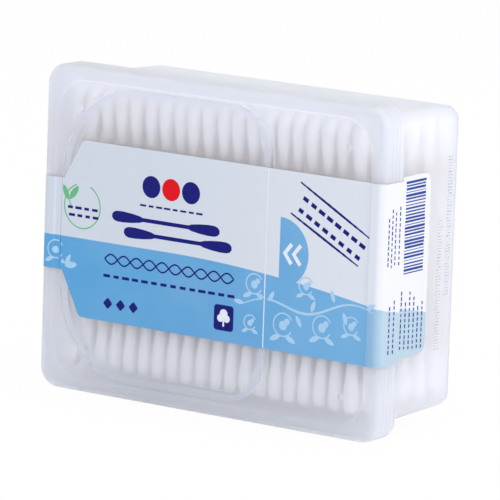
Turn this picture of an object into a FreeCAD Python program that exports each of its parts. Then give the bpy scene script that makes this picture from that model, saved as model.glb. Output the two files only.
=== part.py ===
import FreeCAD, Part
import math
import os

# Cotton swab box: a clear pack of paper-stemmed swabs standing on its long edge.
# A shallow lid snaps over the rim of a drafted tub and faces the viewer, towards -Y.
# A hatch in the lid swings open on a film hinge near its left edge.
# A printed label crosses the lid, parted at the hinge and along the free edge of the hatch.
# Lengths are millimetres. X is across the lid, Y runs from the lid to the back, Z is up.
# The pieces are modelled with the front of the lid at Y = 0 and moved to the centre on export.

# Lid
lid_width = 108.6
lid_height = 86.4
lid_wall = 0.8
skirt_depth = 8.6
lid_corner_radius = 5.5
lid_edge_radius = 2.0

# Sunk panel in the front of the lid
panel_recess = 0.4
panel_side_border = 4.0
panel_end_border = 3.5
panel_corner_radius = 9.5
panel_step_width = 0.6

# Round pips near the corners of the panel
pip_side_inset = 11.4
pip_end_inset = 11.1
pip_radius = 1.0
pip_rise = 0.35

# Hatch with its seat and film hinge
hatch_side_inset = 6.8
hatch_end_inset = 4.5
hatch_width = 65.6
hatch_hinge_corner_radius = 22.7
hatch_free_corner_radius = 11.7
hatch_plate = 0.7
hatch_gap = 0.3
seat_width = 1.5
plug_wall = 0.8
plug_depth = 1.5
plug_clearance = 0.15
hinge_groove_width = 1.4
hinge_film = 0.3
hinge_slit = 0.1

# Tub
pack_depth = 40.3
tub_wall = 0.8
tub_draft_degrees = 2.0
shoulder_side_step = 3.5
shoulder_end_step = 2.7
tub_corner_radius = 4.8
tub_back_radius = 1.2
tub_rim_depth = 1.2
lid_to_tub_clearance = 0.15
snap_bead_radius = 0.45
snap_bead_length = 22.0

# Label film
label_thickness = 0.12
label_top = 67.15
label_bottom = 20.15
label_neck_top = 56.45
label_neck_bottom = 32.05
label_taper_width = 6.0
label_corner_radius = 1.8
label_tub_reach = 27.0
label_tub_corner_radius = 3.0
label_bridge = 1.6
label_left_reach = 7.6

# Swabs, drawn with a few flat sides because there are so many
swab_sides = 6
head_diameter = 4.2
head_length = 15.0
head_nose_inset = 1.0
head_nose_height = 1.6
head_belly_height = 8.0
cotton_end_wrap = 0.2
stem_diameter = 2.3
column_gap = 0.5
row_gap = 0.05
swab_end_clearance = 1.45
swab_wall_clearance = 0.1

# Levels and edges that the pieces share
half_width = lid_width / 2
middle_height = lid_height / 2
draft_slope = math.tan(math.radians(tub_draft_degrees))
panel_back = panel_recess + lid_wall
seat_level = panel_recess + hatch_plate
seat_back = seat_level + lid_wall
plug_back = seat_level + plug_depth
mouth_level = seat_back + lid_to_tub_clearance
label_level = panel_recess - label_thickness
centre_shift = -(pack_depth - label_thickness) / 2

hatch_left = -half_width + hatch_side_inset
hatch_right = hatch_left + hatch_width
hinge_x = hatch_left - hinge_groove_width / 2
hinge_bottom = hatch_end_inset + hatch_hinge_corner_radius
hinge_top = lid_height - hinge_bottom
column_pitch = head_diameter + column_gap


def front_point(level):
    """Places a point of the X-Z plane at a level along Y."""
    return lambda x, z: FreeCAD.Vector(x, level, z)


def top_point(x, y):
    """Places a point of the X-Y plane at height zero."""
    return FreeCAD.Vector(x, y, 0)


def side_point(y, z):
    """Places a point of the Y-Z plane on the middle plane."""
    return FreeCAD.Vector(0, y, z)


def rounded_wire(corners, place):
    """A closed wire through corners given as (u, v, radius), with an arc at each rounded one."""
    tangents = []
    count = len(corners)
    for index, (u, v, radius) in enumerate(corners):
        here = FreeCAD.Vector(u, v, 0)
        before = FreeCAD.Vector(*corners[index - 1][:2], 0) - here
        after = FreeCAD.Vector(*corners[(index + 1) % count][:2], 0) - here
        half_angle = before.getAngle(after) / 2
        before.normalize()
        after.normalize()
        if radius <= 0:
            tangents.append((here, None, here))
            continue
        reach = radius / math.tan(half_angle)
        inward = before + after
        inward.normalize()
        nearest = here + inward * (radius / math.sin(half_angle) - radius)
        tangents.append((here + before * reach, nearest, here + after * reach))
    edges = []
    for index, (start, nearest, end) in enumerate(tangents):
        last_end = tangents[index - 1][2]
        if (start - last_end).Length > 1e-6:
            edges.append(Part.makeLine(place(last_end.x, last_end.y), place(start.x, start.y)))
        if nearest is not None:
            ends = [place(point.x, point.y) for point in (start, nearest, end)]
            edges.append(Part.Arc(*ends).toShape())
    return Part.Wire(edges)


def box_corners(left, right, bottom, top, left_radius, right_radius):
    """Corners of an upright rectangle whose left and right corners have their own radii."""
    return [
        (left, bottom, left_radius),
        (right, bottom, right_radius),
        (right, top, right_radius),
        (left, top, left_radius),
    ]


def plate(corners, front, back):
    """A plate of the given outline between two levels."""
    face = Part.Face(rounded_wire(corners, front_point(front)))
    return face.extrude(FreeCAD.Vector(0, back - front, 0))


def tapered_block(front_corners, front, back_corners, back):
    """A straight-sided block whose outline changes from front to back."""
    wires = [
        rounded_wire(front_corners, front_point(front)),
        rounded_wire(back_corners, front_point(back)),
    ]
    return Part.makeLoft(wires, True, True)


def edges_at_level(shape, level):
    """Edges of a shape that lie in the plane Y = level."""
    found = []
    for edge in shape.Edges:
        box = edge.BoundBox
        if abs(box.YMin - level) < 1e-4 and abs(box.YMax - level) < 1e-4:
            found.append(edge)
    return found


def lid_corners(inset, radius):
    """Outline of the lid, moved inwards by an inset."""
    reach = half_width - inset
    return box_corners(-reach, reach, inset, lid_height - inset, radius, radius)


def panel_corners(growth):
    """Outline of the sunk panel, grown outwards."""
    reach = half_width - panel_side_border + growth
    bottom = panel_end_border - growth
    radius = panel_corner_radius + growth
    return box_corners(-reach, reach, bottom, lid_height - bottom, radius, radius)


def hatch_corners(growth):
    """Outline of the hatch, grown outwards or, when negative, inwards."""
    return box_corners(
        hatch_left - growth,
        hatch_right + growth,
        hatch_end_inset - growth,
        lid_height - hatch_end_inset + growth,
        hatch_hinge_corner_radius + growth,
        hatch_free_corner_radius + growth,
    )


def hinge_slot(growth):
    """Outline of the hinge groove beside the straight edge of the hatch."""
    left = hatch_left - hinge_groove_width - growth
    right = hatch_left + seat_width
    return box_corners(left, right, hinge_bottom - growth, hinge_top + growth, 0, 0)


def tub_half_width(level):
    """Outer half width of the drafted tub at a level along Y."""
    return half_width - shoulder_side_step - (level - skirt_depth) * draft_slope


def tub_half_height(level):
    """Outer half height of the drafted tub at a level along Y."""
    return middle_height - shoulder_end_step - (level - skirt_depth) * draft_slope


def tub_corners(level, inset):
    """Outline of the tub at a level, moved inwards by an inset."""
    reach = tub_half_width(level) - inset
    rise = tub_half_height(level) - inset
    radius = tub_corner_radius - (tub_half_width(skirt_depth) - reach)
    return box_corners(-reach, reach, middle_height - rise, middle_height + rise, radius, radius)


def lid_shell():
    """The front wall and skirt of the lid as one open shell."""
    outer = plate(lid_corners(0, lid_corner_radius), 0, skirt_depth)
    outer = outer.makeFillet(lid_edge_radius, edges_at_level(outer, 0))
    inner_radius = lid_corner_radius - lid_wall
    inner = plate(lid_corners(lid_wall, inner_radius), lid_wall, skirt_depth + lid_wall)
    inner = inner.makeFillet(lid_edge_radius - lid_wall, edges_at_level(inner, lid_wall))
    return outer.cut(inner)


def snap_beads():
    """Four short half-round beads inside the skirt that hold the rim of the tub."""
    level = mouth_level + tub_rim_depth + lid_to_tub_clearance + snap_bead_radius
    half = snap_bead_length / 2
    side_x = half_width - lid_wall
    beads = []
    for x in (-side_x, side_x):
        start = FreeCAD.Vector(x, level, middle_height - half)
        upward = FreeCAD.Vector(0, 0, 1)
        beads.append(Part.makeCylinder(snap_bead_radius, snap_bead_length, start, upward))
    for z in (lid_wall, lid_height - lid_wall):
        start = FreeCAD.Vector(-half, level, z)
        sideways = FreeCAD.Vector(1, 0, 0)
        beads.append(Part.makeCylinder(snap_bead_radius, snap_bead_length, start, sideways))
    return beads


def pips():
    """Low domes near the corners of the panel."""
    ball_radius = (pip_radius ** 2 + pip_rise ** 2) / (2 * pip_rise)
    latitude = math.degrees(math.acos(pip_radius / ball_radius))
    domes = []
    for x in (-half_width + pip_side_inset, half_width - pip_side_inset):
        for z in (pip_end_inset, lid_height - pip_end_inset):
            centre = FreeCAD.Vector(x, panel_recess + ball_radius - pip_rise, z)
            outward = FreeCAD.Vector(0, -1, 0)
            domes.append(Part.makeSphere(ball_radius, centre, outward, latitude, 90, 360))
    return domes


def hinge_strip(left, right):
    """A thin film of the hinge between two places across it."""
    corners = box_corners(left, right, hinge_bottom, hinge_top, 0, 0)
    return plate(corners, panel_recess, panel_recess + hinge_film)


def lid():
    """The lid with its sunk panel, hatch seat, opening, half of the hinge film, beads and pips."""
    step = panel_step_width / 2
    slope = panel_step_width / panel_recess
    lead = panel_recess
    body = lid_shell()
    behind_panel = plate(panel_corners(step), lid_wall, panel_back)
    behind_seat = plate(hatch_corners(hatch_gap + lid_wall), lid_wall, seat_back)
    behind_hinge = plate(hinge_slot(lid_wall), lid_wall, seat_back)
    body = body.fuse([behind_panel, behind_seat, behind_hinge])
    sunk = tapered_block(
        panel_corners(step + slope * lead), -lead, panel_corners(-step), panel_recess
    )
    seat = plate(hatch_corners(hatch_gap), -lead, seat_level)
    groove = plate(hinge_slot(0), -lead, seat_level)
    opening = plate(hatch_corners(-seat_width), -lead, seat_back + lid_wall)
    body = body.cut([sunk, seat, groove, opening])
    film = hinge_strip(hatch_left - hinge_groove_width, hinge_x - hinge_slit / 2)
    body = body.fuse([film] + pips() + snap_beads())
    return body.removeSplitter()


def hatch():
    """The hatch plate with its plug rim and its half of the hinge film."""
    cover = plate(hatch_corners(0), panel_recess, seat_level)
    rim_outer = plate(hatch_corners(-seat_width - plug_clearance), seat_level, plug_back)
    inner_inset = seat_width + plug_clearance + plug_wall
    rim_inner = plate(hatch_corners(-inner_inset), seat_level, plug_back)
    film = hinge_strip(hinge_x + hinge_slit / 2, hatch_left + hinge_film)
    return cover.fuse([rim_outer.cut(rim_inner), film]).removeSplitter()


def tub():
    """The drafted tub with its outward rim."""
    outer = tapered_block(
        tub_corners(mouth_level, 0), mouth_level, tub_corners(pack_depth, 0), pack_depth
    )
    outer = outer.makeFillet(tub_back_radius, edges_at_level(outer, pack_depth))
    mouth_start = mouth_level - tub_wall
    floor_level = pack_depth - tub_wall
    inner = tapered_block(
        tub_corners(mouth_start, tub_wall), mouth_start, tub_corners(floor_level, tub_wall), floor_level
    )
    inner = inner.makeFillet(tub_back_radius - tub_wall, edges_at_level(inner, floor_level))
    rim_inset = lid_wall + lid_to_tub_clearance
    rim_outline = lid_corners(rim_inset, lid_corner_radius - rim_inset)
    rim = plate(rim_outline, mouth_level, mouth_level + tub_rim_depth)
    return outer.fuse(rim).cut(inner).removeSplitter()


def label_strip(path, bottom, top):
    """Label film of even thickness on the outside of an X-Y path, between two heights."""
    outer = path.makeOffset2D(label_thickness, 2, True, True, False)
    strip = outer.Faces[0].extrude(FreeCAD.Vector(0, 0, top - bottom))
    strip.translate(FreeCAD.Vector(0, 0, bottom))
    return strip


def lid_side_path(inner_x, reach):
    """Path over the right of the lid: panel, step, border, rounded edge and skirt."""
    step = panel_step_width / 2
    panel_x = half_width - panel_side_border
    bend = half_width - lid_edge_radius
    middle = half_width - lid_edge_radius + lid_edge_radius * math.sin(math.pi / 4)
    depth = lid_edge_radius - lid_edge_radius * math.cos(math.pi / 4)
    flats = [
        top_point(inner_x, panel_recess),
        top_point(panel_x - step, panel_recess),
        top_point(panel_x + step, 0),
        top_point(bend, 0),
    ]
    edges = [Part.makeLine(a, b) for a, b in zip(flats, flats[1:])]
    turn_end = top_point(half_width, lid_edge_radius)
    edges.append(Part.Arc(flats[-1], top_point(middle, depth), turn_end).toShape())
    edges.append(Part.makeLine(turn_end, top_point(half_width, reach)))
    return edges


def label_hatch_panel():
    """The part of the label that rides on the hatch, necked in at the hinge."""
    neck_x = hatch_left
    left = hinge_x + hinge_slit / 2
    wide_x = neck_x + label_taper_width
    corners = [
        (left, label_neck_bottom, 0),
        (neck_x, label_neck_bottom, 0),
        (wide_x, label_bottom, label_corner_radius),
        (hatch_right, label_bottom, 0),
        (hatch_right, label_top, 0),
        (wide_x, label_top, label_corner_radius),
        (neck_x, label_neck_top, 0),
        (left, label_neck_top, 0),
    ]
    return plate(corners, label_level, panel_recess)


def label_side_panel():
    """The part of the label right of the hatch, wrapped over the skirt onto the tub."""
    edges = lid_side_path(hatch_right + hatch_gap, skirt_depth)
    landing = skirt_depth + label_bridge
    bridge_start = top_point(half_width, skirt_depth)
    bridge_end = top_point(tub_half_width(landing), landing)
    tub_end = top_point(tub_half_width(label_tub_reach), label_tub_reach)
    edges.append(Part.makeLine(bridge_start, bridge_end))
    edges.append(Part.makeLine(bridge_end, tub_end))
    strip = label_strip(Part.Wire(edges), label_bottom, label_top)
    past_label = label_tub_reach + label_bridge
    front = -label_bridge
    radius = label_tub_corner_radius
    window = [
        (front, label_bottom, 0),
        (label_tub_reach, label_bottom, radius),
        (label_tub_reach, label_top, radius),
        (front, label_top, 0),
    ]
    trimmed = Part.Face(rounded_wire(window, side_point))
    trimmed = trimmed.extrude(FreeCAD.Vector(half_width + past_label, 0, 0))
    return strip.common(trimmed)


def label_left_tab():
    """The narrow end of the label left of the hinge, wrapped round the side of the lid."""
    inner_x = -(hinge_x - hinge_slit / 2)
    path = Part.Wire(lid_side_path(inner_x, label_left_reach))
    strip = label_strip(path, label_neck_bottom, label_neck_top)
    return strip.mirror(FreeCAD.Vector(0, 0, 0), FreeCAD.Vector(1, 0, 0))


def swab_height():
    """Length of a swab: the clear height at the back of the tub less its end clearances."""
    floor_level = pack_depth - tub_wall
    rise = tub_half_height(floor_level) - tub_wall
    return 2 * (rise - swab_end_clearance)


def swab_rows():
    """Levels of the rows from front to back, as many as the clear depth holds."""
    reach = head_diameter / 2 + swab_wall_clearance
    first = plug_back + reach
    last = pack_depth - tub_wall - reach
    nested_pitch = math.sqrt((head_diameter + row_gap) ** 2 - (column_pitch / 2) ** 2)
    gaps = int((last - first) / nested_pitch)
    return [first + (last - first) * row / gaps for row in range(gaps + 1)]


def swab_columns(row):
    """Places of the swabs of one row across the tub, every other row shifted by half a pitch."""
    floor_level = pack_depth - tub_wall
    round_corner = tub_corner_radius - (tub_half_width(skirt_depth) - tub_half_width(floor_level))
    room = 2 * (tub_half_width(floor_level) - round_corner) - column_pitch / 2
    gaps = int(room / column_pitch)
    shift = column_pitch / 4 if row % 2 else -column_pitch / 4
    start = -gaps * column_pitch / 2 + shift
    return [start + column_pitch * column for column in range(gaps + 1)]


def ring_points(radius, height):
    """Corners of a ring of flat sides about the Z axis, closed on its first corner."""
    points = []
    for side in range(swab_sides + 1):
        angle = 2 * math.pi * (side % swab_sides) / swab_sides
        points.append(FreeCAD.Vector(radius * math.cos(angle), radius * math.sin(angle), height))
    return points


def turned_solid(stations):
    """A solid with flat sides through the given (radius, height) stations on the Z axis."""
    rings = [ring_points(radius, height) for radius, height in stations]
    faces = [Part.Face(Part.makePolygon(rings[0])), Part.Face(Part.makePolygon(rings[-1]))]
    for low, high in zip(rings, rings[1:]):
        for side in range(swab_sides):
            sloped = [low[side], low[side + 1], high[side + 1], high[side], low[side]]
            faces.append(Part.Face(Part.makePolygon(sloped)))
    return Part.makeSolid(Part.makeShell(faces))


def cotton_head():
    """One wound cotton head, tip downwards at the origin: a blunt nose, a full belly and a taper."""
    return turned_solid(
        [
            (head_diameter / 2 - head_nose_inset, 0),
            (head_diameter / 2, head_nose_height),
            (head_diameter / 2, head_belly_height),
            (stem_diameter / 2 + cotton_end_wrap, head_length),
        ]
    )


def paper_stem():
    """The bare stretch of one stem, from one head to the other, starting at the origin."""
    length = swab_height() - 2 * head_length
    return turned_solid([(stem_diameter / 2, 0), (stem_diameter / 2, length)])


def cotton_heads(row, level):
    """The lower and upper heads of one row of swabs."""
    height = swab_height()
    lower = cotton_head()
    upper = lower.mirror(FreeCAD.Vector(0, 0, height / 2), FreeCAD.Vector(0, 0, 1))
    bottom = middle_height - height / 2
    places = [FreeCAD.Vector(x, level, bottom) for x in swab_columns(row)]
    heads = [head.translated(place) for place in places for head in (lower, upper)]
    return Part.makeCompound(heads)


def swab_stems(row, level):
    """The paper stems of one row of swabs."""
    stem = paper_stem()
    bottom = middle_height - swab_height() / 2 + head_length
    places = [FreeCAD.Vector(x, level, bottom) for x in swab_columns(row)]
    return Part.makeCompound([stem.translated(place) for place in places])


def write_part(name, shape):
    """Moves a piece to the centred frame and writes it."""
    placed = shape.translated(FreeCAD.Vector(0, centre_shift, 0))
    placed.exportStep(os.path.join("parts", name + ".step"))
    print(name, len(placed.Solids), round(placed.Volume, 2), placed.isValid())


def main():
    os.makedirs("parts", exist_ok=True)
    write_part("tub", tub())
    write_part("lid", lid())
    write_part("hatch", hatch())
    write_part("label_hatch_panel", label_hatch_panel())
    write_part("label_side_panel", label_side_panel())
    write_part("label_left_tab", label_left_tab())
    for row, level in enumerate(swab_rows()):
        write_part(f"swab_stems_row_{row + 1:02d}", swab_stems(row, level))
        write_part(f"cotton_heads_row_{row + 1:02d}", cotton_heads(row, level))
    print("hinge axis at", round(hinge_x, 4), round(label_level + centre_shift, 4))


main()
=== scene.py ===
# %% [markdown]
# # A box of cotton swabs
# The packed CAD model gives the tub, the lid, the hatch and the label films at their real size.
# This script dresses them: frosted plastic, printed film, wound cotton and rolled paper.
# The scene is in metres, in the same frame as the CAD model. Patterns and print are laid out in
# millimetres, and MM turns those into metres.

# %% Load the frame
import math

import bmesh
import bpy
from mathutils import Matrix, Vector
from mathutils.bvhtree import BVHTree


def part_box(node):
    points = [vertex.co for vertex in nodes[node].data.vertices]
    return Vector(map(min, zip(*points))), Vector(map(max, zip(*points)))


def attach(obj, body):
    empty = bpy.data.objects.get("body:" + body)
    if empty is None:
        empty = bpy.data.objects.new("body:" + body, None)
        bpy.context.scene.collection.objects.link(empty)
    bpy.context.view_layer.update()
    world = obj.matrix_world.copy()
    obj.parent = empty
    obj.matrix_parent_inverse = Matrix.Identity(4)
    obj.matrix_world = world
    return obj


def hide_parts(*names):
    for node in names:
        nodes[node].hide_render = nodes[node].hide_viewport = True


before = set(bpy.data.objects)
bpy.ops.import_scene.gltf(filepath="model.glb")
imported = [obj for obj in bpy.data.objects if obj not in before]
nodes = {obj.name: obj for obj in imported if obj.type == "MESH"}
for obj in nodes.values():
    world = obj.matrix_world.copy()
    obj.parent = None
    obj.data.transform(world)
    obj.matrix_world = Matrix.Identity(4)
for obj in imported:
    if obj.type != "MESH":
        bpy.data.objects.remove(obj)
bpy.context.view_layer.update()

MM = 0.001


def in_scene(name, data):
    """A new object with this data, linked to the scene."""
    thing = bpy.data.objects.new(name, data)
    bpy.context.scene.collection.objects.link(thing)
    return thing


def dress(name, finish):
    """Gives every slot of a CAD piece the same finish."""
    for slot in nodes[name].material_slots:
        slot.material = finish


# %% [markdown]
# ## Camera
# The photograph looks at the front from the right and a little from above, through a long lens.
# Its direction was fitted to the edges of the box, so the camera is given by three vectors.

# %% Camera
camera_place = Vector((0.80011, -1.11714, 0.28565))
camera_forward = Vector((-0.57372, 0.80006, -0.17534)).normalized()
camera_up = Vector((-0.1301, 0.12235, 0.98392))
camera_right = camera_forward.cross(camera_up).normalized()
camera_up = camera_right.cross(camera_forward)
camera_turn = Matrix((camera_right, camera_up, -camera_forward)).transposed()

camera_data = bpy.data.cameras.new("long_lens")
camera_data.sensor_width = 36
camera_data.lens = 385.28
camera = in_scene("camera", camera_data)
camera.matrix_world = Matrix.Translation(camera_place) @ camera_turn.to_4x4()
bpy.context.scene.camera = camera
print("camera is", round(camera_place.length, 3), "m from the foot of the box")

# %% [markdown]
# ## Sums on sockets
# A pattern in a material is a sum on numbers that change over the surface. One small class wraps
# a socket, so such a sum is written as in Python, and each operator adds its Math node.

# %% A socket that can be added and multiplied
class Field:
    """A socket of a node tree on which sums are written as in Python."""

    def __init__(self, tree, socket):
        self.tree = tree
        self.socket = socket

    def node(self, kind, settings=None, values=None, out=0):
        """Adds a node: its settings first, then values or links for its inputs."""
        added = self.tree.nodes.new(kind)
        for name, value in (settings or {}).items():
            if name == "stops":
                set_stops(added.color_ramp, value)
            else:
                setattr(added, name, value)
        for name, value in (values or {}).items():
            if isinstance(value, Field):
                self.tree.links.new(value.socket, added.inputs[name])
            else:
                added.inputs[name].default_value = value
        return Field(self.tree, added.outputs[out])

    def math(self, operation, first, second=0.0, third=0.0):
        return self.node("ShaderNodeMath", {"operation": operation}, {0: first, 1: second, 2: third})

    def __add__(self, other):
        return self.math("ADD", self, other)

    __radd__ = __add__

    def __sub__(self, other):
        return self.math("SUBTRACT", self, other)

    def __rsub__(self, other):
        return self.math("SUBTRACT", other, self)

    def __mul__(self, other):
        return self.math("MULTIPLY", self, other)

    __rmul__ = __mul__

    def __truediv__(self, other):
        return self.math("DIVIDE", self, other)

    def __pow__(self, other):
        return self.math("POWER", self, other)

    def __mod__(self, other):
        return self.math("FLOORED_MODULO", self, other)

    def __abs__(self):
        return self.math("ABSOLUTE", self)

    def over(self, level, soft):
        """1 where this is above a level and 0 below it, with a soft edge of that width."""
        settings = {"interpolation_type": "SMOOTHSTEP"}
        values = {"Value": self, "From Min": level - soft / 2, "From Max": level + soft / 2}
        return self.node("ShaderNodeMapRange", settings, values)

    def at_least(self, other):
        return self.math("MAXIMUM", self, other)

    def blend(self, first, second):
        """A colour that goes from the first to the second as this goes from 0 to 1."""
        values = {0: self, 6: first, 7: second}
        return self.node("ShaderNodeMix", {"data_type": "RGBA"}, values, out=2)


def set_stops(ramp, stops):
    while len(ramp.elements) < len(stops):
        ramp.elements.new(0.5)
    for element, (position, colour) in zip(ramp.elements, stops):
        element.position = position
        element.color = colour


print("a field also has", [name for name in vars(Field) if not name.startswith("_")])

# %% [markdown]
# Colours are written as they look on a screen, from 0 to 255, and turned into the linear values
# that a shader counts in.

# %% Colours and a new finish
def colour(red, green, blue):
    def linear(level):
        level = level / 255
        return level / 12.92 if level <= 0.04045 else ((level + 0.055) / 1.055) ** 2.4
    return (linear(red), linear(green), linear(blue), 1.0)


def new_finish(name, **constants):
    """A material with one Principled shader, and its place on the object in metres."""
    material = bpy.data.materials.new(name)
    material.use_nodes = True
    tree = material.node_tree
    shader = tree.nodes["Principled BSDF"]
    for socket, value in constants.items():
        shader.inputs[socket.replace("_", " ")].default_value = value
    place = tree.nodes.new("ShaderNodeTexCoord")
    return material, shader, Field(tree, place.outputs["Object"])


def feed(shader, **fields):
    for socket, field in fields.items():
        field.tree.links.new(field.socket, shader.inputs[socket.replace("_", " ")])


def xyz(place):
    """The three parts of a place, in millimetres."""
    parts = place.node("ShaderNodeSeparateXYZ", {}, {0: place})
    outputs = parts.socket.node.outputs
    return [Field(place.tree, socket) * 1000.0 for socket in outputs]


def ray_is(tree, *kinds):
    """1 for a ray of one of these kinds, such as Camera, and 0 for any other."""
    outputs = tree.nodes.new("ShaderNodeLightPath").outputs
    first, *others = [Field(tree, outputs["Is " + kind + " Ray"]) for kind in kinds]
    for other in others:
        first = first.at_least(other)
    return first


def mix_surface(material, factor, first, second):
    """Makes a mix of two shaders the surface of a material."""
    mixed = first.node("ShaderNodeMixShader", {}, {0: factor, 1: first, 2: second})
    tree = material.node_tree
    tree.links.new(mixed.socket, tree.nodes["Material Output"].inputs["Surface"])


def noise(place, scale, detail=2.0, stretch=(1.0, 1.0, 1.0), roughness=0.5):
    """Even noise from 0 to 1. The scale is in lumps to the metre."""
    settings = {"operation": "MULTIPLY"}
    moved = place.node("ShaderNodeVectorMath", settings, {0: place, 1: stretch})
    values = {"Vector": moved, "Scale": scale, "Detail": detail, "Roughness": roughness}
    return place.node("ShaderNodeTexNoise", {}, values)


def bump(height, strength, depth):
    values = {"Strength": strength, "Distance": depth, "Height": height}
    return height.node("ShaderNodeBump", {}, values)


print("a navy of 35, 40, 130 is", [round(level, 3) for level in colour(35, 40, 130)])

# %% [markdown]
# ## Frosted polypropylene
# The tub, the lid and the hatch are thin natural polypropylene: clear enough to show what lies
# close behind, milky enough to hide what lies deep. A clear shader with a rough surface blurs what
# is behind it by as much as it is far away, which is how the real plastic works. A little white
# veil is mixed in, and light passes straight through on its way to the swabs, so they stay bright.
# The relief is slight: a fine grain, upright streaks from the draw, and a few ribs round the skirt,
# along which the plastic is coloured darker and milkier.

# %% Clear polypropylene
rounded_front, plain_back, rib_pitch = 3.3, 1.0, 1.55
rib_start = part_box("lid")[0].y / MM + rounded_front
rib_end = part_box("lid")[1].y / MM - plain_back


def clear_polypropylene():
    material, shader, place = new_finish("clear_polypropylene", IOR=1.32, Transmission_Weight=0.88)
    _, depth, _ = xyz(place)
    cloud = noise(place, 120.0, 3.0)
    grain = noise(place, 2600.0, 2.0)
    streaks = noise(place, 900.0, 2.0, (1.0, 1.0, 0.03))
    on_skirt = depth.over(rib_start - 0.4, 0.3) * (1.0 - depth.over(rib_end, 0.6))
    steps = abs(((depth - rib_start) / rib_pitch) % 1.0 - 0.5)
    relief = bump(0.4 * grain + 2.0 * streaks + 100.0 * steps * on_skirt, 0.12, 0.00002)
    # Along each rib line the colour is darker and the veil milkier.
    thick = steps.over(0.38, 0.08) * on_skirt
    feed(shader, Base_Color=thick.blend(colour(246, 248, 253), colour(222, 227, 238)),
         Roughness=0.25 + 0.1 * cloud, Normal=relief)
    milk = colour(242, 245, 251)
    scattered = place.node("ShaderNodeBsdfDiffuse", {}, {"Color": milk})
    shone_through = place.node("ShaderNodeBsdfTranslucent", {}, {"Color": milk})
    milky = place.node("ShaderNodeMixShader", {}, {0: 0.5, 1: scattered, 2: shone_through})
    facing = place.node("ShaderNodeLayerWeight", {}, {"Blend": 0.5}, out="Facing")
    veil = 0.18 + 0.08 * cloud + 0.5 * facing.over(0.6, 0.7) + 0.2 * thick
    clear = Field(place.tree, shader.outputs[0])
    walls = place.node("ShaderNodeMixShader", {}, {0: veil, 1: clear, 2: milky})
    passing = place.node("ShaderNodeBsdfTransparent", {}, {0: colour(250, 250, 252)})
    mix_surface(material, ray_is(place.tree, "Shadow", "Diffuse"), walls, passing)
    return material


frosted = clear_polypropylene()
for name in ("tub", "lid", "hatch"):
    dress(name, frosted)
print("frosted plastic on tub, lid and hatch")

# %% [markdown]
# ## Cotton and paper
# A swab head is cotton wound in a thin web around the stem: matt, white, with fine fibres that run
# around it and soft lumps. Round the neck it carries painted shade: darker and warmer, as between
# heads.
# The stem is white paper rolled hard, with a slight gloss.

# %% Cotton and paper
neck_shade_centre, neck_shade_reach, neck_shade_softness = 45.2, 24.0, 5.5


def wound_cotton():
    material, shader, place = new_finish(
        "wound_cotton", Roughness=0.95, Sheen_Weight=0.25, Sheen_Roughness=0.5)
    lumps = noise(place, 450.0, 3.0)
    fibres = noise(place, 1500.0, 4.0, (1.0, 1.0, 0.35), 0.65)
    shade = 0.6 * lumps + 0.4 * fibres
    web = shade.over(0.5, 0.5).blend(colour(230, 223, 219), colour(245, 248, 253))
    # Painted shade: a darker, warmer colour in a band of heights round the necks, where shade falls
    # between the heads.
    painted_neck_shade = 1.0 - abs(xyz(place)[2] - neck_shade_centre).over(neck_shade_reach, neck_shade_softness)
    feed(shader, Base_Color=(0.8 * painted_neck_shade).blend(web, colour(232, 207, 192)),
         Normal=bump(0.5 * lumps + fibres, 0.5, 0.00012))
    return material


def rolled_paper():
    material, shader, place = new_finish("rolled_paper", Roughness=0.55)
    fibres = noise(place, 1800.0, 3.0, (1.0, 1.0, 0.15))
    feed(shader, Base_Color=fibres.blend(colour(242, 234, 229), colour(249, 245, 242)),
         Normal=bump(fibres, 0.2, 0.00003))
    return material


cotton = wound_cotton()
paper = rolled_paper()
print("finishes so far:", [finish.name for finish in (frosted, cotton, paper)])

# %% [markdown]
# ## The swabs
# Two hundred swabs stand in ten rows of twenty, and each second row is moved by half a gap. They
# are the same piece many times, which is what Geometry Nodes are for: one turned shape is put on a
# grid of points, each with a little turn and lean of its own from a fixed seed.

# %% Where the CAD model has the swabs
row_names = sorted(name for name in nodes if name.startswith("cotton_heads_row"))
stem_names = sorted(name for name in nodes if name.startswith("swab_stems_row"))
row_count = len(row_names)
column_count = 20
first_low, first_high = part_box(row_names[0])
second_low, second_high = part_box(row_names[1])
last_low, last_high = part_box(row_names[-1])
head_width = (first_high.y - first_low.y) * 2 / math.sqrt(3)
column_pitch = (first_high.x - first_low.x - head_width) / (column_count - 1)
row_pitch = (last_low.y - first_low.y) / (row_count - 1)
row_shift = second_low.x - first_low.x
swab_bottom, swab_top = first_low.z, first_high.z
first_swab = Vector((first_low.x + head_width / 2, (first_low.y + first_high.y) / 2, 0))
print("columns", round(column_pitch / MM, 3), "mm apart, rows", round(row_pitch / MM, 3), "mm apart")

# %% The turned shapes of one swab
def turned(name, rings, sides):
    """A closed shape turned about Z from (radius, height) rings, the first and last nearly points."""
    shape = bmesh.new()
    circles = []
    for radius, height in rings:
        turns = [2 * math.pi * side / sides for side in range(sides)]
        points = [(radius * math.cos(turn), radius * math.sin(turn), height) for turn in turns]
        circles.append([shape.verts.new(point) for point in points])
    for lower, upper in zip(circles, circles[1:]):
        for side in range(sides):
            other = (side + 1) % sides
            shape.faces.new((lower[side], lower[other], upper[other], upper[side]))
    shape.faces.new(list(reversed(circles[0])))
    shape.faces.new(circles[-1])
    mesh = bpy.data.meshes.new(name)
    shape.to_mesh(mesh)
    shape.free()
    mesh.polygons.foreach_set("use_smooth", [True] * len(mesh.polygons))
    return mesh


head_length = 15.0 * MM
stem_radius = 1.15 * MM
head_sides = 8
head_profile = [(0.6, 0.0), (0.68, 0.16), (0.9, 0.4), (1.06, 0.62), (1.09, 0.8), (0.94, 0.93),
                (0.34, 1.0)]


def head_rings(foot, tip):
    """The rings of a head from its foot on the stem to its tip, listed upwards."""
    radius = head_width / 2
    rings = [(radius * part, foot + (tip - foot) * along) for part, along in head_profile]
    return rings if tip > foot else rings[::-1]


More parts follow.
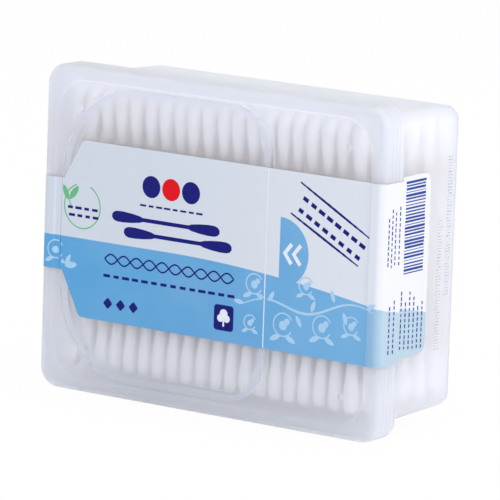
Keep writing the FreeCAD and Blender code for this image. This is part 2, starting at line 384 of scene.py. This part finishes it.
def joined(name, meshes):
    shape = bmesh.new()
    for mesh in meshes:
        shape.from_mesh(mesh)
        bpy.data.meshes.remove(mesh)
    result = bpy.data.meshes.new(name)
    shape.to_mesh(result)
    shape.free()
    return result


upper_head = turned("upper_head", head_rings(swab_top - head_length, swab_top), head_sides)
lower_head = turned("lower_head", head_rings(swab_bottom + head_length, swab_bottom), head_sides)
heads_mesh = joined("one_pair_of_heads", [upper_head, lower_head])
stem_overlap = 1.5 * MM
stem_rings = [(stem_radius, swab_bottom + head_length - stem_overlap),
              (stem_radius, (swab_bottom + swab_top) / 2),
              (stem_radius, swab_top - head_length + stem_overlap)]
stem_mesh = turned("one_stem", stem_rings, head_sides)
print("faces of a pair of heads and of a stem:", len(heads_mesh.polygons), len(stem_mesh.polygons))

# %% [markdown]
# The tree counts its points: the column is the remainder of the index, the row is what is left.
# After the instances are made real, a soft noise moves the cotton in and out a little, so that no
# two heads are alike.

# %% The tree that sets out the swabs
def new_tree(name, **kinds):
    """A tree and its inputs: objects, finishes, whole numbers, lengths and vectors."""
    tree = bpy.data.node_groups.new(name, "GeometryNodeTree")
    for kind, labels in kinds.items():
        for label in labels:
            tree.interface.new_socket(label, in_out="INPUT", socket_type="NodeSocket" + kind)
    tree.interface.new_socket("Geometry", in_out="OUTPUT", socket_type="NodeSocketGeometry")
    group = tree.nodes.new("NodeGroupInput")
    return tree, {socket.name: Field(tree, socket) for socket in group.outputs if socket.name}


def real_copies(points, thing, **settings):
    """Puts a copy of an object on each point and makes the copies real."""
    shape = points.node("GeometryNodeObjectInfo", {}, {"Object": thing}, out="Geometry")
    values = {"Points": points, "Instance": shape, **settings}
    copies = points.node("GeometryNodeInstanceOnPoints", {}, values)
    return points.node("GeometryNodeRealizeInstances", {}, {"Geometry": copies})


def end_tree(tree, geometry, finish):
    """Sets the finish of the geometry and passes it to the output of the tree."""
    values = {"Geometry": geometry, "Material": finish}
    finished = geometry.node("GeometryNodeSetMaterial", {}, values)
    output = tree.nodes.new("NodeGroupOutput")
    tree.links.new(finished.socket, output.inputs["Geometry"])
    return tree


def swab_tree():
    tree, given = new_tree(
        "stand_swabs_in_rows", Object=["Swab"], Material=["Finish"], Int=["Columns", "Rows"],
        Float=["Column pitch", "Row pitch", "Row shift", "Lean", "Lumps"], Vector=["First swab"])
    start = given["Columns"]

    def chance(least, most, seed):
        values = {"Min": least, "Max": most, "Seed": seed}
        return start.node("FunctionNodeRandomValue", {"data_type": "FLOAT"}, values, out=1)

    index = start.node("GeometryNodeInputIndex")
    column = index % start
    row = start.math("FLOOR", index / start)
    row_is_odd = row % 2.0
    place = start.node("ShaderNodeCombineXYZ", {}, {
        0: column * given["Column pitch"] + row_is_odd * given["Row shift"],
        1: row * given["Row pitch"]})
    values = {0: place, 1: given["First swab"]}
    place = start.node("ShaderNodeVectorMath", {"operation": "ADD"}, values)
    count = start * given["Rows"]
    points = start.node("GeometryNodePoints", {}, {"Count": count, "Position": place})
    most = given["Lean"]
    least = most * -1.0
    rotation = start.node("ShaderNodeCombineXYZ", {}, {
        0: chance(least, most, 3), 1: chance(least, most, 4), 2: chance(0.0, 2 * math.pi, 5)})
    real = real_copies(points, given["Swab"], Rotation=rotation)
    normal = start.node("GeometryNodeInputNormal")
    lumps = start.node("ShaderNodeTexNoise", {}, {"Scale": 330.0, "Detail": 1.0})
    swell = (lumps - 0.55) * given["Lumps"]
    values = {0: normal, "Scale": swell}
    offset = start.node("ShaderNodeVectorMath", {"operation": "SCALE"}, values)
    soft = start.node("GeometryNodeSetPosition", {}, {"Geometry": real, "Offset": offset})
    return end_tree(tree, soft, given["Finish"])


rows_of_swabs = swab_tree()
print("the tree has", len(rows_of_swabs.nodes), "nodes")

# %% Grown pieces become plain meshes
def set_inputs(modifier, values):
    """Sets a tree's named inputs on its modifier, by the identifier of each socket."""
    items = modifier.node_group.interface.items_tree
    identifiers = {item.name: item.identifier for item in items if item.in_out == "INPUT"}
    for name, value in values.items():
        modifier[identifiers[name]] = value


def grown(name, tree, values):
    """Runs a tree on an empty mesh and keeps the result as a plain mesh object."""
    piece = in_scene(name, bpy.data.meshes.new(name))
    modifier = piece.modifiers.new("grow", "NODES")
    modifier.node_group = tree
    set_inputs(modifier, values)
    evaluated = piece.evaluated_get(bpy.context.evaluated_depsgraph_get())
    mesh = bpy.data.meshes.new_from_object(evaluated)
    piece.modifiers.remove(modifier)
    piece.data = mesh
    mesh.name = name
    return piece


def standing_swabs(name, template_mesh, finish, lumps):
    template = bpy.data.objects.new("template_" + name, template_mesh)
    piece = grown(name, rows_of_swabs, {
        "Swab": template, "Finish": finish, "Columns": column_count, "Rows": row_count,
        "Column pitch": column_pitch, "Row pitch": row_pitch, "Row shift": row_shift,
        "First swab": first_swab, "Lean": 0.003, "Lumps": lumps})
    bpy.data.objects.remove(template)
    return piece


cotton_heads = standing_swabs("cotton_heads", heads_mesh, cotton, 0.5 * MM)
swab_stems = standing_swabs("swab_stems", stem_mesh, paper, 0.0)
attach(cotton_heads, "box")
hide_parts(*row_names)
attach(swab_stems, "box")
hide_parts(*stem_names)
print("heads:", len(cotton_heads.data.polygons), "faces, stems:", len(swab_stems.data.polygons))

# %% [markdown]
# ## The label
# The label is one white film with a pale field above and a blue band below. The band's upper edge
# runs level across the front and sinks towards the right side, and a blue half disc beside the
# perforation shows where a thumb lifts the hatch. Both follow simple rules, so the material works
# them out from the place on the film: across the front, and then on around the corner.

# %% Printed label
# Painted light: the pale field is painted darker at the left and lighter at the right, as the light
# from the right falls across the front.
field_left_painted_shade = colour(207, 215, 227)
field_right_painted_light = colour(221, 226, 236)
field_side = colour(218, 219, 223)
band_left = colour(71, 158, 215)
band_middle = colour(82, 159, 213)
band_right = colour(103, 170, 220)
# Painted light: the band is painted pale on the side, where the strong light from the right washes it
# out.
band_side_painted_pale = colour(164, 188, 204)
front_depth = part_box("label_hatch_panel")[0].y / MM
thumb_across, thumb_height, thumb_radius = 22.5, 45.9, 9.1
band_height, bend_start, bend_power, bend_rate = 41.05, -12.0, 1.85, 0.0026
side_start = 53.8
tints_start, tints_length = -55.0, 140.0


def printed_label():
    material, shader, place = new_finish("printed_label", Specular_IOR_Level=0.2)
    across, depth, height = xyz(place)
    inward = depth - front_depth
    along = across + inward * inward.over(1.0, 0.5)
    sunk = (along - bend_start).at_least(0.0) ** bend_power * bend_rate
    below = (band_height - sunk - height).over(0.0, 0.25)
    aside = across - thumb_across
    from_thumb = (aside ** 2.0 + (height - thumb_height) ** 2.0) ** 0.5
    thumb = (thumb_radius - from_thumb).over(0.0, 0.2) * aside.over(0.0, 0.2)
    in_band = below.at_least(thumb)
    # Past the corner the band takes the painted pale side colour.
    tint = along.node("ShaderNodeValToRGB", {"stops": [
        (0.0, band_left), (0.42, band_middle), (0.745, band_right), (0.79, band_side_painted_pale)]},
        {0: (along - tints_start) / tints_length})
    wash = noise(place, 60.0, 2.0)
    tint = (wash * 0.1).blend(tint, colour(255, 255, 255))
    fibres = noise(place, 3000.0, 2.0)
    # Painted shade and light: the field darkens towards the left and lightens towards the right.
    field = (along + 10.0).over(30.0, 110.0).blend(field_left_painted_shade, field_right_painted_light)
    field = along.over(side_start, 1.0).blend(field, field_side)
    feed(shader, Base_Color=in_band.blend(field, tint), Normal=bump(fibres, 0.06, 0.00002),
         Roughness=0.38 + 0.08 * fibres)
    return material


printed = printed_label()
label_names = [name for name in nodes if name.startswith("label_")]
for name in label_names:
    dress(name, printed)
print("the print is on", label_names)

# %% [markdown]
# ## Inks
# The finer print is laid on as very thin pieces, a fiftieth of a millimetre proud of the film, so
# its edges stay crisp from near by. Offset ink is never quite even, so each ink clouds a little
# and shows a trace of the film's grain.

# %% Inks
def ink(name, dark, light):
    material, shader, place = new_finish(name, Roughness=0.45, Specular_IOR_Level=0.1)
    cloud = noise(place, 500.0, 3.0)
    grain = bump(noise(place, 3000.0), 0.05, 0.00002)
    feed(shader, Base_Color=cloud.blend(dark, light), Normal=grain)
    return material


inks = {
    "navy": ink("navy_ink", colour(16, 18, 110), colour(26, 30, 124)),
    "red": ink("red_ink", colour(218, 8, 24), colour(230, 16, 32)),
    "green": ink("green_ink", colour(92, 178, 124), colour(116, 194, 144)),
    "pale": ink("pale_ink", colour(158, 200, 234), colour(178, 211, 239)),
    "white": ink("white_ink", colour(222, 228, 240), colour(232, 236, 244)),
    "grey": ink("grey_ink", colour(150, 155, 170), colour(172, 177, 190)),
    "blue": ink("blue_ink", colour(22, 52, 132), colour(34, 68, 148)),
}
print("inks:", sorted(inks))

# %% [markdown]
# ## Flat shapes for the print
# Every motif is a few flat faces, given by corners (across, height) in millimetres. They are put
# together here as plain lists, so one motif can be moved, turned and used again.

# %% Flat shapes
def disc(across, height, radius, sides=28):
    turns = [2 * math.pi * side / sides for side in range(sides)]
    return [[(across + radius * math.cos(turn), height + radius * math.sin(turn)) for turn in turns]]


def ribbon(centre_line, widths):
    """A band of four-cornered faces along a line, with its own width at each point."""
    edges = []
    for index, (across, height) in enumerate(centre_line):
        before = centre_line[max(index - 1, 0)]
        after = centre_line[min(index + 1, len(centre_line) - 1)]
        run, rise = after[0] - before[0], after[1] - before[1]
        length = math.hypot(run, rise)
        half = widths[index] / 2
        out = (-rise / length * half, run / length * half)
        edges.append(((across + out[0], height + out[1]), (across - out[0], height - out[1])))
    return [[left[1], right[1], right[0], left[0]] for left, right in zip(edges, edges[1:])]


def ring(across, height, radius, width, start=0.0, end=360.0, sides=40):
    count = max(6, int(sides * (end - start) / 360))
    turns = [math.radians(start + (end - start) * step / count) for step in range(count + 1)]
    line = [(across + radius * math.cos(turn), height + radius * math.sin(turn)) for turn in turns]
    return ribbon(line, [width] * len(line))


def leaf(across, height, length, width, degrees):
    """A pointed leaf from its stalk at (across, height)."""
    turn = math.radians(degrees)
    line, widths = [], []
    for step in range(9):
        part = step / 8
        line.append((across + length * part * math.cos(turn), height + length * part * math.sin(turn)))
        widths.append(max(width * math.sin(math.pi * part) ** 0.7, 0.02))
    return ribbon(line, widths)


def block(left, bottom, right, top, radius=0.0):
    """An upright rectangle, with rounded corners if a radius is given."""
    if radius == 0.0:
        return [[(left, bottom), (right, bottom), (right, top), (left, top)]]
    corners = [(right - radius, top - radius, 0), (left + radius, top - radius, 90),
               (left + radius, bottom + radius, 180), (right - radius, bottom + radius, 270)]
    points = []
    for across, height, start in corners:
        for step in range(7):
            turn = math.radians(start + 15 * step)
            points.append((across + radius * math.cos(turn), height + radius * math.sin(turn)))
    return [points]


print("a ring has", len(ring(0, 0, 5, 1)), "faces and a leaf", len(leaf(0, 0, 5, 2, 0)))

# %% [markdown]
# A flat mesh in front of the label is pressed onto it: a ray from each corner finds the film, and
# the corner stops just short of it. The same works from the right for the side of the pack.

# %% Meshes for the print
ahead, beyond = -30 * MM, 70 * MM


def spread(pair, third, side):
    """Adds a third number to a pair: between the two for the front, and before them for the side."""
    return (third, pair[0], pair[1]) if side else (pair[0], third, pair[1])


def flat_mesh(name, faces, side=False):
    """A mesh of flat faces ahead of the front (X-Z) or beyond the right side (Y-Z)."""
    shape = bmesh.new()
    start = beyond if side else ahead
    for face in faces:
        places = [spread((across * MM, height * MM), start, side) for across, height in face]
        shape.faces.new([shape.verts.new(place) for place in places])
    mesh = bpy.data.meshes.new(name)
    shape.to_mesh(mesh)
    shape.free()
    return mesh


def tree_of(name):
    source = nodes[name]
    points = [source.matrix_world @ vertex.co for vertex in source.data.vertices]
    return BVHTree.FromPolygons(points, [tuple(face.vertices) for face in source.data.polygons])


film_trees = {name: tree_of(name) for name in label_names + ["tub"]}


def press_on(mesh, names, aim, lift):
    """Moves each corner of a mesh along the aim until it lies just proud of the film."""
    missed = 0
    for vertex in mesh.vertices:
        hits = [film_trees[name].ray_cast(vertex.co, aim) for name in names]
        hits = [hit for hit in hits if hit[0] is not None]
        if hits:
            nearest = min(hits, key=lambda hit: hit[3])
            vertex.co = nearest[0] - aim * lift
        else:
            missed += 1
    return missed


layer_step = 0.004


def print_piece(name, meshes, body, colour_name, side=False, lift=0.02):
    """Presses flat meshes on the film, each a little higher than the one before, and joins them."""
    on_hatch, on_box = ["label_hatch_panel"], ["label_side_panel", "label_left_tab", "tub"]
    names = on_hatch if body == "hatch" else on_box
    aim = Vector((-1, 0, 0)) if side else Vector((0, 1, 0))
    missed = 0
    for layer, mesh in enumerate(meshes):
        missed += press_on(mesh, names, aim, (lift + layer_step * layer) * MM)
    mesh = joined(name, meshes)
    mesh.materials.clear()
    mesh.materials.append(inks[colour_name])
    piece = in_scene(name, mesh)
    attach(piece, body)
    print(name, "has", len(mesh.polygons), "faces, missed", missed)


def on_each_body(faces):
    """Parts flat faces between the hatch and the rest, and drops those across a cut in the film."""
    hatch_low, hatch_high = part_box("label_hatch_panel")
    on_hatch, on_box = [], []
    for face in faces:
        least = min(corner[0] for corner in face) * MM
        most = max(corner[0] for corner in face) * MM
        if least > hatch_low.x and most < hatch_high.x:
            on_hatch.append(face)
        elif most < hatch_low.x - 0.3 * MM or least > hatch_high.x + 0.4 * MM:
            on_box.append(face)
    return on_hatch, on_box


print("films to press on:", sorted(film_trees))

# %% [markdown]
# ## Marks in rows
# Much of the print is one small mark many times in a row: the dashes that stand for lines of small
# print, the bars of the stock code, the bridges of the perforation. One tree sets out all of them.
# Each mark gets its own size between two limits, from a fixed seed.

# %% The tree that sets out a row of marks
def row_tree():
    tree, given = new_tree(
        "set_out_a_row", Object=["Mark"], Material=["Finish"], Int=["Count", "Seed"],
        Vector=["Start", "Step", "Least size", "Most size", "Turn"])
    step = given["Step"]
    index = step.node("GeometryNodeInputIndex")
    run = step.node("ShaderNodeVectorMath", {"operation": "SCALE"}, {0: step, "Scale": index})
    place = step.node("ShaderNodeVectorMath", {"operation": "ADD"}, {0: given["Start"], 1: run})
    points = step.node("GeometryNodePoints", {}, {"Count": given["Count"], "Position": place})
    values = {"Min": given["Least size"], "Max": given["Most size"], "Seed": given["Seed"]}
    size = step.node("FunctionNodeRandomValue", {"data_type": "FLOAT_VECTOR"}, values)
    real = real_copies(points, given["Mark"], Rotation=given["Turn"], Scale=size)
    return end_tree(tree, real, given["Finish"])


set_out_a_row = row_tree()


def marks(faces, count, start, step, least=(1, 1), most=(1, 1), degrees=0.0, seed=1, side=False):
    """A mesh of one mark many times. Places and steps are (across, height) in millimetres."""
    template = bpy.data.objects.new("template_mark", flat_mesh("mark", faces, side))
    offset = Vector(spread((0, 0), beyond if side else ahead, side))
    for vertex in template.data.vertices:
        vertex.co -= offset
    turn = (math.radians(degrees), 0, 0) if side else (0, -math.radians(degrees), 0)
    piece = grown("row_of_marks", set_out_a_row, {
        "Mark": template, "Finish": inks["navy"], "Count": count,
        "Start": Vector(spread((start[0] * MM, start[1] * MM), 0.0, side)) + offset,
        "Step": spread((step[0] * MM, step[1] * MM), 0.0, side),
        "Least size": spread(least, 1.0, side), "Most size": spread(most, 1.0, side),
        "Turn": turn, "Seed": seed})
    mesh = piece.data
    bpy.data.objects.remove(piece)
    bpy.data.objects.remove(template)
    return mesh


dash = block(-0.5, -0.5, 0.5, 0.5)
print("a row of five dashes has", len(marks(dash, 5, (0, 0), (3, 0)).polygons), "faces")

# %% [markdown]
# ## Print on the hatch
# Two long lying swabs take the place of a heading, under three dots. Below them are a twisted
# thread, dashes for the small print, three lozenges, and a navy tile with a tuft of cotton. A green
# ring with a sprig stands at the left.

# %% Print on the hatch
def tuft(across, height, size):
    """A tuft of cotton on its stalk, with three lobes."""
    lobes = [disc(across, height + size * 0.22, size * 0.27, 18)]
    for side in (-1, 1):
        lobes.append(disc(across + side * size * 0.22, height - size * 0.04, size * 0.22, 18))
    lobes.append(ribbon([(across, height - size * 0.5), (across, height)], [size * 0.12] * 2))
    return lobes


def thread(start, end, height, swing, turns, thick):
    """Two strands of a twisted thread."""
    strands, steps = [], 25 * turns
    for side in (-1, 1):
        line = []
        for step in range(steps + 1):
            part = step / steps
            wave = side * swing * math.sin(2 * math.pi * turns * part)
            line.append((start + (end - start) * part, height + wave))
        strands.append(ribbon(line, [thick] * len(line)))
    return strands


def lying_swab(left, right, height, thick):
    """A long swab on its side: a wound head at each end of a slim stem."""
    outline = [(0.0, 0.3), (0.6, 0.75), (1.6, 0.97), (3.5, 1.0), (6.5, 0.85), (9.0, 0.6),
               (10.0, 0.36)]
    line = [(left + along, height) for along, _ in outline]
    line += [(right - along, height) for along, _ in reversed(outline)]
    widths = [thick * part for _, part in outline]
    return ribbon(line, widths + widths[::-1])


swab_places = ((-31.4, 3.4, 48.5), (-27.4, 7.4, 44.7))
heading = [flat_mesh("lying", lying_swab(*place, 2.9)) for place in swab_places]
strands = [flat_mesh("strand", strand) for strand in thread(-33.4, 8.4, 36.8, 1.3, 5, 0.4)]
lines_of_print = [
    marks(dash, 14, (-32.6, 32.3), (3.1, 0.0), (1.6, 0.75), (2.5, 0.75), seed=3),
    marks(dash, 8, (-21.4, 52.4), (2.6, 0.0), (1.5, 0.5), (2.1, 0.5), seed=4),
    marks(dash, 4, (-45.2, 49.0), (2.7, 0.0), (1.5, 0.7), (2.1, 0.7), seed=5),
    marks(dash, 4, (-44.6, 47.0), (2.6, 0.0), (1.4, 0.7), (2.0, 0.7), seed=6),
]
lozenges = marks(block(-1.1, -1.1, 1.1, 1.1, 0.4), 3, (-32.0, 25.0), (4.2, 0), degrees=45)
tile = flat_mesh("tile", block(2.5, 23.0, 8.7, 29.7, 0.9))
heading += strands + [lozenges, tile] + lines_of_print
print_piece("heading_print", heading, "hatch", "navy")

tile_tuft = [flat_mesh("part", part) for part in tuft(5.6, 26.4, 4.6)]
print_piece("tile_tuft_print", tile_tuft, "hatch", "white", lift=0.08)

outer_dots = [flat_mesh("dot", disc(across, 57.5, 2.9)) for across in (-18.9, -6.1)]
print_piece("outer_dots_print", outer_dots, "hatch", "navy")
print_piece("middle_dot_print", [flat_mesh("dot", disc(-12.5, 57.5, 2.9))], "hatch", "red")

sprig_stem = ribbon([(-45.9, 51.6), (-45.3, 50.0), (-44.6, 48.9)], [0.25, 0.3, 0.2])
sprig = [ring(-41.3, 49.6, 5.9, 0.32, -250, 65, 60), leaf(-45.9, 50.8, 4.3, 1.6, 115),
         leaf(-45.6, 51.0, 4.8, 1.8, 52), sprig_stem]
print_piece("sprig_print", [flat_mesh("part", part) for part in sprig], "hatch", "green")

# %% [markdown]
# ## Print across the cut
# A pale branch of cotton runs along the band. It is drawn whole and then parted between the hatch
# and the rest, because the film is cut at the perforation.

# %% Cotton branch
bolls = ((15.0, 36.6, 2.6), (24.4, 27.2, 3.0), (31.2, 38.2, 2.2), (36.6, 28.3, 2.9),
         (45.6, 29.8, 2.3), (14.0, 26.4, 1.9), (-49.6, 37.2, 2.4))
leaves = ((12.0, 31.2, 175), (19.6, 32.6, 60), (28.4, 30.2, -60), (33.0, 31.6, 70),
          (40.2, 35.0, 110), (43.0, 33.0, -70), (50.0, 34.6, 30), (-46.4, 33.4, 60))


def branch():
    """The layers of the branch: its stem, rings, bolls and leaves."""
    line, widths = [], []
    for step in range(61):
        part = step / 60
        line.append((11.5 + 41.0 * part, 31.0 + 1.6 * math.sin(9.5 * part) + 3.2 * part))
        widths.append(0.25 + 0.45 * math.sin(math.pi * part))
    rings, large, small, left_leaves, right_leaves = [], [], [], [], []
    for across, height, size in bolls:
        rings += ring(across, height, size, 0.4, 30, 330)
        large += disc(across, height - 0.2, size * 0.42, 14)
        small += disc(across + size * 0.4, height + size * 0.3, size * 0.3, 12)
        foot, length, width = height - size * 0.9, size * 1.3, size * 0.5
        left_leaves += leaf(across - size * 0.2, foot, length, width, 205)
        right_leaves += leaf(across + size * 0.2, foot, length, width, -25)
    for across, height, degrees in leaves:
        left_leaves += leaf(across, height, 3.4, 1.3, degrees)
    right_leaves += leaf(-46.6, 33.2, 4.2, 1.8, 10)
    return [ribbon(line, widths), rings, large, small, left_leaves, right_leaves]


parted = [on_each_body(layer) for layer in branch()]
on_hatch = [flat_mesh("layer", faces) for faces, _ in parted]
on_box = [flat_mesh("layer", faces) for _, faces in parted]
print_piece("branch_print_on_hatch", on_hatch, "hatch", "pale")
print_piece("branch_print_on_box", on_box, "box", "pale")

# %% Right of the perforation
def slanted(start, end, thick):
    """A brushed rule that thins towards its ends."""
    line, widths = [], []
    for step in range(25):
        part = step / 24
        line.append((start[0] + (end[0] - start[0]) * part, start[1] + (end[1] - start[1]) * part))
        swell, bristle = math.sin(math.pi * (0.12 + 0.8 * part)), math.sin(9 * step)
        widths.append(thick * (0.35 + 0.65 * swell + 0.12 * bristle))
    return ribbon(line, widths)


slope = math.degrees(math.atan2(-12.0, 22.2))
rules = slanted((28.4, 64.7), (50.2, 53.0), 0.65) + slanted((25.6, 56.4), (47.0, 45.4), 0.65)
slanted_lines = [
    marks(dash, 8, (30.2, 60.4), (2.55, -1.38), (1.5, 1.1), (2.1, 1.1), slope, 7),
    marks(dash, 8, (28.8, 57.3), (2.55, -1.38), (1.5, 1.1), (2.1, 1.1), slope, 8),
]
print_piece("slanted_print", [flat_mesh("rules", rules)] + slanted_lines, "box", "navy")

chevrons = []
for tip in (24.2, 27.0):
    chevrons += ribbon([(tip + 2.1, 48.4), (tip, 45.8), (tip + 2.1, 43.2)], [1.1, 1.3, 1.1])
print_piece("chevron_print", [flat_mesh("chevrons", chevrons)], "box", "white")

# %% [markdown]
# ## Print on the side
# The side carries a stock code of plain bars and columns of dashes for its small print. Here the
# places are (depth, height), and the marks are pressed on from the right.

# %% Side print
columns = (
    (-17.4, 46.4, 9), (-15.9, 45.8, 11), (-14.4, 46.4, 10), (-12.6, 46.2, 11), (-9.0, 46.0, 11),
    (-7.3, 46.0, 12), (-15.9, 23.6, 9), (-13.9, 23.6, 10), (-9.2, 23.4, 11), (-7.2, 23.0, 10),
    (-5.2, 22.8, 11), (-3.2, 22.6, 9), (-1.2, 22.4, 11), (0.8, 22.2, 10), (2.8, 22.2, 8),
    (4.8, 22.0, 9))
side_marks = [marks(dash, 29, (-0.1, 42.0), (0, 0.84), (9.0, 0.18), (9.6, 0.68), seed=9, side=True)]
for place, (depth, low_end, count) in enumerate(columns):
    side_marks.append(marks(dash, count, (depth, low_end), (0, 1.42), (0.42, 0.7), (0.5, 1.1),
                            seed=20 + place, side=True))
print_piece("side_print", side_marks, "box", "blue", side=True)

# %% Dotted code on the tub
dots = []
for place, (depth, low_end, count) in enumerate(((11.6, 20.0, 44), (15.6, 34.0, 46))):
    for row in range(4):
        dots.append(marks(dash, count, (depth + 0.55 * row, low_end), (0, 0.8), (0.08, 0.08),
                          (0.4, 0.4), seed=50 + 4 * place + row, side=True))
print_piece("dotted_code", dots, "box", "grey", side=True)

# %% [markdown]
# ## Perforation
# The film is perforated beside the free edge of the hatch. Seen from the front this is a fine pale
# line. A narrow strip lies in the cut, and small bridges cross it at even steps.

# %% Perforation
seam_low, seam_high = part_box("label_hatch_panel")
side_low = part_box("label_side_panel")[0]
overlap, end_gap = 0.02, 0.05
strip_left, strip_right = seam_high.x / MM - overlap, side_low.x / MM + overlap
seam_bottom, seam_top = seam_low.z / MM + end_gap, seam_high.z / MM - end_gap
bridges = marks(block(strip_left, -0.45, strip_right, 0.45), 33, (0, seam_bottom + 0.7), (0, 1.42))
strip = flat_mesh("strip", block(strip_left, seam_bottom, strip_right, seam_top))
for vertex in strip.vertices:
    vertex.co.y = seam_low.y + 0.012 * MM
for vertex in bridges.vertices:
    vertex.co.y = seam_low.y - 0.006 * MM
perforation_mesh = joined("perforation", [strip, bridges])
perforation_mesh.materials.clear()
perforation_mesh.materials.append(inks["white"])
perforation = in_scene("perforation", perforation_mesh)
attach(perforation, "box")
print("the strip is", round(strip_right - strip_left, 3), "mm wide")

# %% [markdown]
# ## Floor, lights and background
# The box stands on a pale floor under soft light that is strongest from the right, as in the
# photograph. What the camera sees around the box, also through the plastic, is pure white, while
# the light that the surroundings give is weaker.

# %% Floor
seen_rays = ("Camera", "Glossy", "Transmission")


def pale_floor():
    material, shader, place = new_finish(
        "pale_floor", Base_Color=colour(249, 249, 251), Roughness=0.9)
    seen = ray_is(place.tree, *seen_rays)
    matt = Field(place.tree, shader.outputs[0])
    white = place.node("ShaderNodeEmission", {}, {"Color": (1, 1, 1, 1), "Strength": 1.0})
    mix_surface(material, seen * 0.95, matt, white)
    return material


floor_mesh = bpy.data.meshes.new("floor")
reach = 3.0
floor_corners = [(-reach, -reach, 0), (reach, -reach, 0), (reach, reach, 0), (-reach, reach, 0)]
floor_mesh.from_pydata(floor_corners, [], [(0, 1, 2, 3)])
floor_mesh.materials.append(pale_floor())
floor = in_scene("floor", floor_mesh)
print("floor reaches", reach, "m each way")

# %% Lights and world
middle_of_box = Vector((0, 0, 0.04))


def soft_lamp(name, place, power, size):
    """A square lamp that points at the middle of the box."""
    data = bpy.data.lights.new(name, "AREA")
    data.energy = power
    data.size = size
    lamp = in_scene(name, data)
    lamp.location = place
    aim = middle_of_box - Vector(place)
    lamp.rotation_euler = aim.to_track_quat("-Z", "Y").to_euler()


soft_lamp("right_lamp", (1.3, -0.1, 0.5), 10.6, 0.9)
soft_lamp("front_lamp", (-0.5, -1.3, 0.9), 4.8, 1.0)
soft_lamp("top_lamp", (0.1, 0.2, 1.5), 7.0, 1.0)


ambient = 0.58


def plain_world():
    """White where it is seen, and dimmer as a light."""
    world = bpy.data.worlds.new("plain_world")
    world.use_nodes = True
    tree = world.node_tree
    back = tree.nodes["Background"]
    strength = ambient + ray_is(tree, *seen_rays) * (1.0 - ambient)
    tree.links.new(strength.socket, back.inputs["Strength"])
    back.inputs["Color"].default_value = (1, 1, 1, 1)
    bpy.context.scene.world = world


plain_world()
bpy.context.scene.view_settings.view_transform = "Standard"
